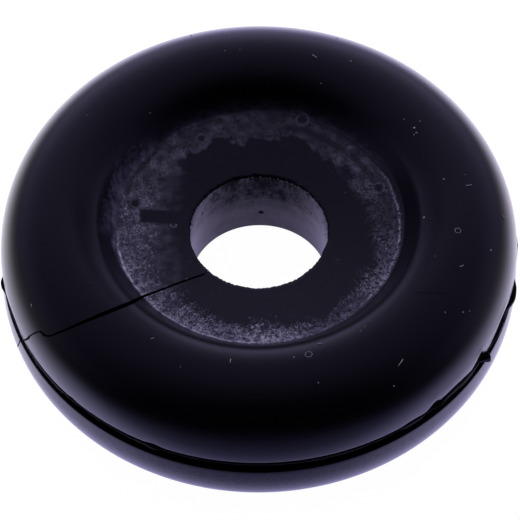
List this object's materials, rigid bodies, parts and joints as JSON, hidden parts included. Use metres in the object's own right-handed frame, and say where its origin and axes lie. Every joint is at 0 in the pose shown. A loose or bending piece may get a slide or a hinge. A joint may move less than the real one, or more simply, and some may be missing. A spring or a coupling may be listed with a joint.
{
  "type": "split rubber grommet",
  "caption": "Round split rubber grommet with two rounded lips, a thin panel slot round its edge, a dished face on each side and a central cable bore with a knife slit.",
  "frame": {"origin": "centre of the bore, on the middle plane of the panel slot", "axes": "+Z along the bore, up out of the face that shows in the picture; the slit runs from the bore towards -X and a little towards -Y"},
  "size_m": [0.03, 0.0301, 0.01],
  "materials": {
    "rubber": "moulded, semi-matte"
  },
  "bodies": {
    "root": {"grommet": "rubber"}
  },
  "joints": []
}
